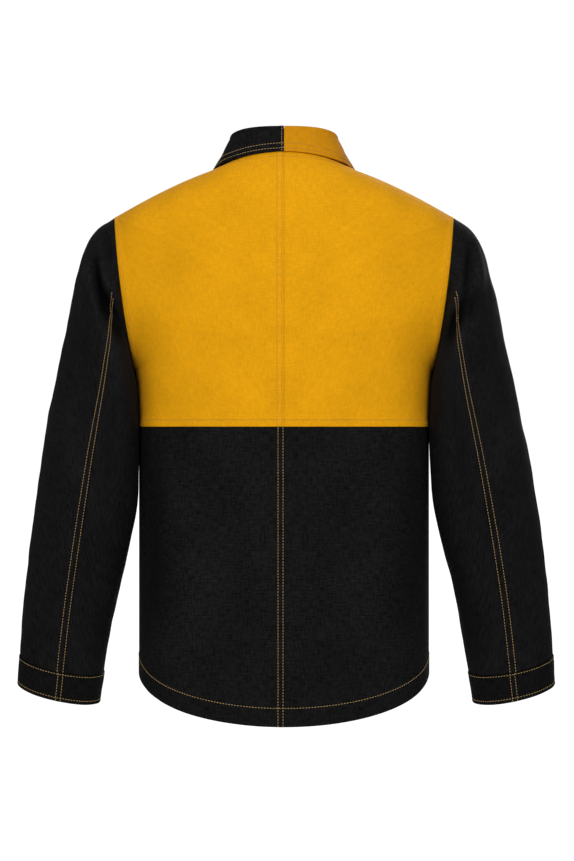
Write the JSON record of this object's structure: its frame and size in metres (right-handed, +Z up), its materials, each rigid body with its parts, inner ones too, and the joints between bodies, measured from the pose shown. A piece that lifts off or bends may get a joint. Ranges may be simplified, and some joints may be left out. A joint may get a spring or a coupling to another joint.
{
  "type": "work jacket",
  "caption": "Two-tone welder's work jacket with a turn-down collar, yokes, two-piece sleeves, cuffs, a drop-tail hem and a front closed by press studs.",
  "frame": {"origin": "centre of the underside of the hang loop's top tape, inside the back of the neck", "axes": "+Z up with the jacket hanging, +Y out of the chest (the back faces -Y), -X towards the wearer's left arm"},
  "size_m": [0.7112, 0.262, 0.7961],
  "materials": {
    "yellow_cloth": "matte heavy woven cloth",
    "black_cloth": "matte heavy woven cloth",
    "nickel": "satin plated"
  },
  "bodies": {
    "torso": {"back_yoke_left": "yellow_cloth", "back_yoke_right": "yellow_cloth", "back_panel_left": "black_cloth", "back_panel_right": "black_cloth", "front_yoke_left": "yellow_cloth", "front_yoke_right": "yellow_cloth", "side_front_left": "black_cloth", "side_front_right": "black_cloth", "collar_stand": "black_cloth", "collar_leaf_left": "black_cloth", "collar_leaf_right": "yellow_cloth", "hang_loop": "black_cloth", "snap_cap_1": "nickel", "snap_stud_1": "nickel"},
    "sleeve_left": {"sleeve_upper_left": "black_cloth", "sleeve_under_left": "black_cloth", "cuff_left": "black_cloth"},
    "sleeve_right": {"sleeve_upper_right": "black_cloth", "sleeve_under_right": "black_cloth", "cuff_right": "black_cloth"},
    "front_left": {"front_panel_left": "black_cloth", "snap_cap_2": "nickel", "snap_cap_3": "nickel", "snap_cap_4": "nickel", "snap_cap_5": "nickel", "snap_cap_6": "nickel"},
    "front_right": {"front_panel_right": "black_cloth", "snap_stud_2": "nickel", "snap_stud_3": "nickel", "snap_stud_4": "nickel", "snap_stud_5": "nickel", "snap_stud_6": "nickel"}
  },
  "joints": [
    {"name": "sleeve_left_raise", "type": "hinge", "parent": "torso", "child": "sleeve_left", "pos_m": [-0.226, 0.0484, -0.106], "axis": [0, 1, 0], "range_deg": [0, 60]},
    {"name": "sleeve_right_raise", "type": "hinge", "parent": "torso", "child": "sleeve_right", "pos_m": [0.226, 0.0484, -0.106], "axis": [0, -1, 0], "range_deg": [0, 60]},
    {"name": "front_left_open", "type": "hinge", "parent": "torso", "child": "front_left", "pos_m": [-0.13, 0.1504, -0.45], "axis": [0, 0, 1], "range_deg": [0, 80]},
    {"name": "front_right_open", "type": "hinge", "parent": "torso", "child": "front_right", "pos_m": [0.13, 0.1504, -0.45], "axis": [0, 0, -1], "range_deg": [0, 40]}
  ],
  "couplings": [
    {"joint": "front_right_open", "follows": "front_left_open", "ratio": 0.5}
  ]
}
